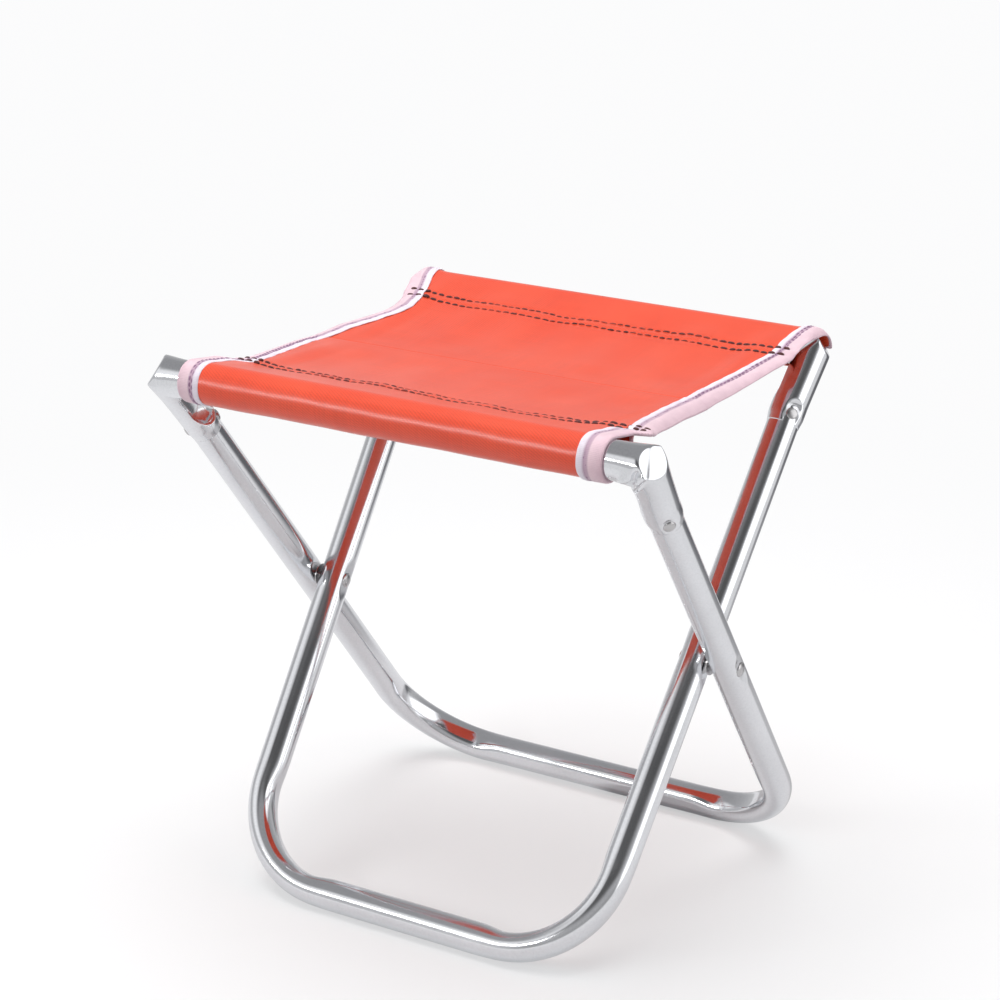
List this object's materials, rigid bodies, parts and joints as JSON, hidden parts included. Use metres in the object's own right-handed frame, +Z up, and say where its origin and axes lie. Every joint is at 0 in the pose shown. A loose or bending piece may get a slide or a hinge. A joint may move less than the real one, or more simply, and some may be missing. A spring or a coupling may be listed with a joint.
{
  "type": "folding camp stool",
  "caption": "Low folding stool: two crossed chromed tube frames pinned together, with a cloth seat sewn round their top rails.",
  "frame": {"origin": "on the floor, under the middle of the open stool", "axes": "+X to the right along the two top rails, +Y from the front rail to the rear rail, +Z up"},
  "size_m": [0.2778, 0.2254, 0.2746],
  "materials": {
    "chromed_tube": "bright plated steel tube",
    "rivet_steel": "plated steel",
    "seat_cloth": "coarse woven polyester with a slight sheen",
    "binding_tape": "pale pink woven binding tape",
    "seam_thread": "dark brown sewing thread"
  },
  "bodies": {
    "outer_frame": {"outer_leg_tube": "chromed_tube", "front_rail_tube": "chromed_tube", "front_arm_rivets": "rivet_steel", "right_pivot_rivet": "rivet_steel", "left_pivot_rivet": "rivet_steel", "right_pivot_washer": "rivet_steel", "left_pivot_washer": "rivet_steel"},
    "inner_frame": {"inner_leg_tube": "chromed_tube", "rear_rail_tube": "chromed_tube", "rear_arm_rivets": "rivet_steel"},
    "front_seat_half": {"front_sleeve": "seat_cloth", "front_seat_panel": "seat_cloth", "seat_middle_strip": "seat_cloth", "front_left_binding": "binding_tape", "front_right_binding": "binding_tape", "front_sleeve_stitching": "seam_thread"},
    "rear_seat_half": {"rear_sleeve": "seat_cloth", "rear_seat_panel": "seat_cloth", "rear_left_binding": "binding_tape", "rear_right_binding": "binding_tape", "rear_sleeve_stitching": "seam_thread"}
  },
  "joints": [
    {"name": "fold", "type": "hinge", "parent": "outer_frame", "child": "inner_frame", "pos_m": [0, 0, 0.13329], "axis": [1, 0, 0], "range_deg": [0, 62]},
    {"name": "front_seat_swing", "type": "hinge", "parent": "outer_frame", "child": "front_seat_half", "pos_m": [0, -0.1022, 0.2641], "axis": [1, 0, 0], "range_deg": [-50, 0], "deforming": ["seat_middle_strip"]},
    {"name": "rear_seat_swing", "type": "hinge", "parent": "inner_frame", "child": "rear_seat_half", "pos_m": [0, 0.1022, 0.2641], "axis": [1, 0, 0], "range_deg": [0, 46]}
  ],
  "couplings": [
    {"joint": "front_seat_swing", "follows": "fold", "ratio": -0.78632},
    {"joint": "rear_seat_swing", "follows": "fold", "ratio": 0.71494}
  ]
}
